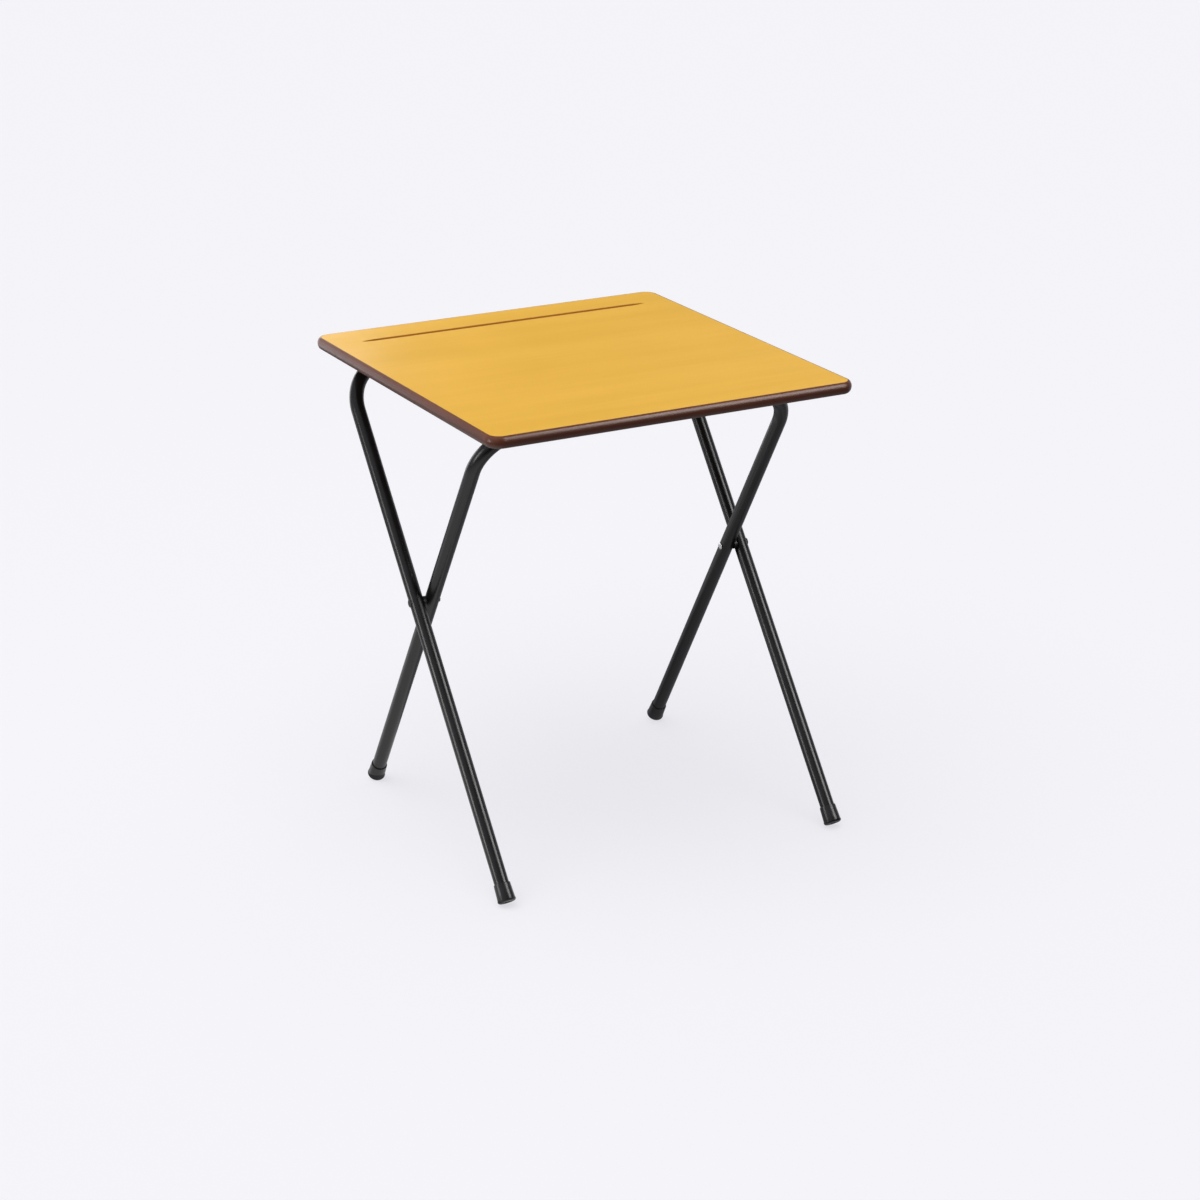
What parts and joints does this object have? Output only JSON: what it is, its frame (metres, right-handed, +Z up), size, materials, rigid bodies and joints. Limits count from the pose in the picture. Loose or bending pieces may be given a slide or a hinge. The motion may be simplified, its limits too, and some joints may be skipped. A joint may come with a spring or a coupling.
{
  "type": "folding table",
  "caption": "Folding table: square wood-effect top with a pencil groove and dark rounded edge, on crossing U-shaped black tube leg frames that pivot at the crossings.",
  "frame": {"origin": "on the floor, under the middle of the whole object's box", "axes": "+Z up; +Y towards the back edge, which the pencil groove runs beside; +X to the right of a person who sits at the front edge and faces the back; the table is mirror-symmetric about X = 0"},
  "size_m": [0.6, 0.6167, 0.71],
  "materials": {
    "board": "medium-density fibreboard, fine matt fibre, cut faces darker",
    "beech_laminate": "satin high-pressure laminate printed with a faint straight yellow-orange beech grain",
    "backing_sheet": "plain matt balancing laminate, warm grey-brown with a slight sanded texture",
    "brown_edging": "glossy dark red-brown moulded PVC with a crowned nose",
    "black_tube": "semi-gloss black powder coat with a very fine orange peel",
    "black_ferrule": "satin black moulded vinyl, scuffed at the rim",
    "zinc_steel": "bright zinc plate",
    "black_nylon": "satin black moulded nylon",
    "screw_steel": "zinc-plated screw heads with cross recesses",
    "fitting_steel": "black painted pressed steel strip"
  },
  "bodies": {
    "outer_frame": {"front_foot_left": "black_ferrule", "front_foot_right": "black_ferrule", "outer_leg_frame": "black_tube", "pivot_cap_left": "black_nylon", "pivot_cap_right": "black_nylon", "pivot_rivet_left": "zinc_steel", "pivot_rivet_right": "zinc_steel", "pivot_spacer_left": "black_nylon", "pivot_spacer_right": "black_nylon", "pivot_washer_left": "zinc_steel", "pivot_washer_right": "zinc_steel"},
    "inner_frame": {"inner_leg_frame": "black_tube", "rear_foot_left": "black_ferrule", "rear_foot_right": "black_ferrule"},
    "tabletop": {"balancing_laminate": "backing_sheet", "edge_moulding": "brown_edging", "front_catch_left": "fitting_steel", "front_catch_right": "fitting_steel", "front_catch_screws": "screw_steel", "rear_clamp_left": "fitting_steel", "rear_clamp_right": "fitting_steel", "rear_clamp_screws": "screw_steel", "top_core": "board", "top_laminate": "beech_laminate"}
  },
  "joints": [
    {"name": "leg_fold", "type": "hinge", "parent": "outer_frame", "child": "inner_frame", "pos_m": [0, -0.01011, 0.3754], "axis": [-1, 0, 0], "range_deg": [0, 68.1]},
    {"name": "tabletop_lift", "type": "hinge", "parent": "outer_frame", "child": "tabletop", "pos_m": [0, 0.22912, 0.6805], "axis": [-1, 0, 0], "range_deg": [0, 32]}
  ],
  "couplings": [
    {"joint": "tabletop_lift", "follows": "leg_fold", "ratio": 0.47}
  ]
}
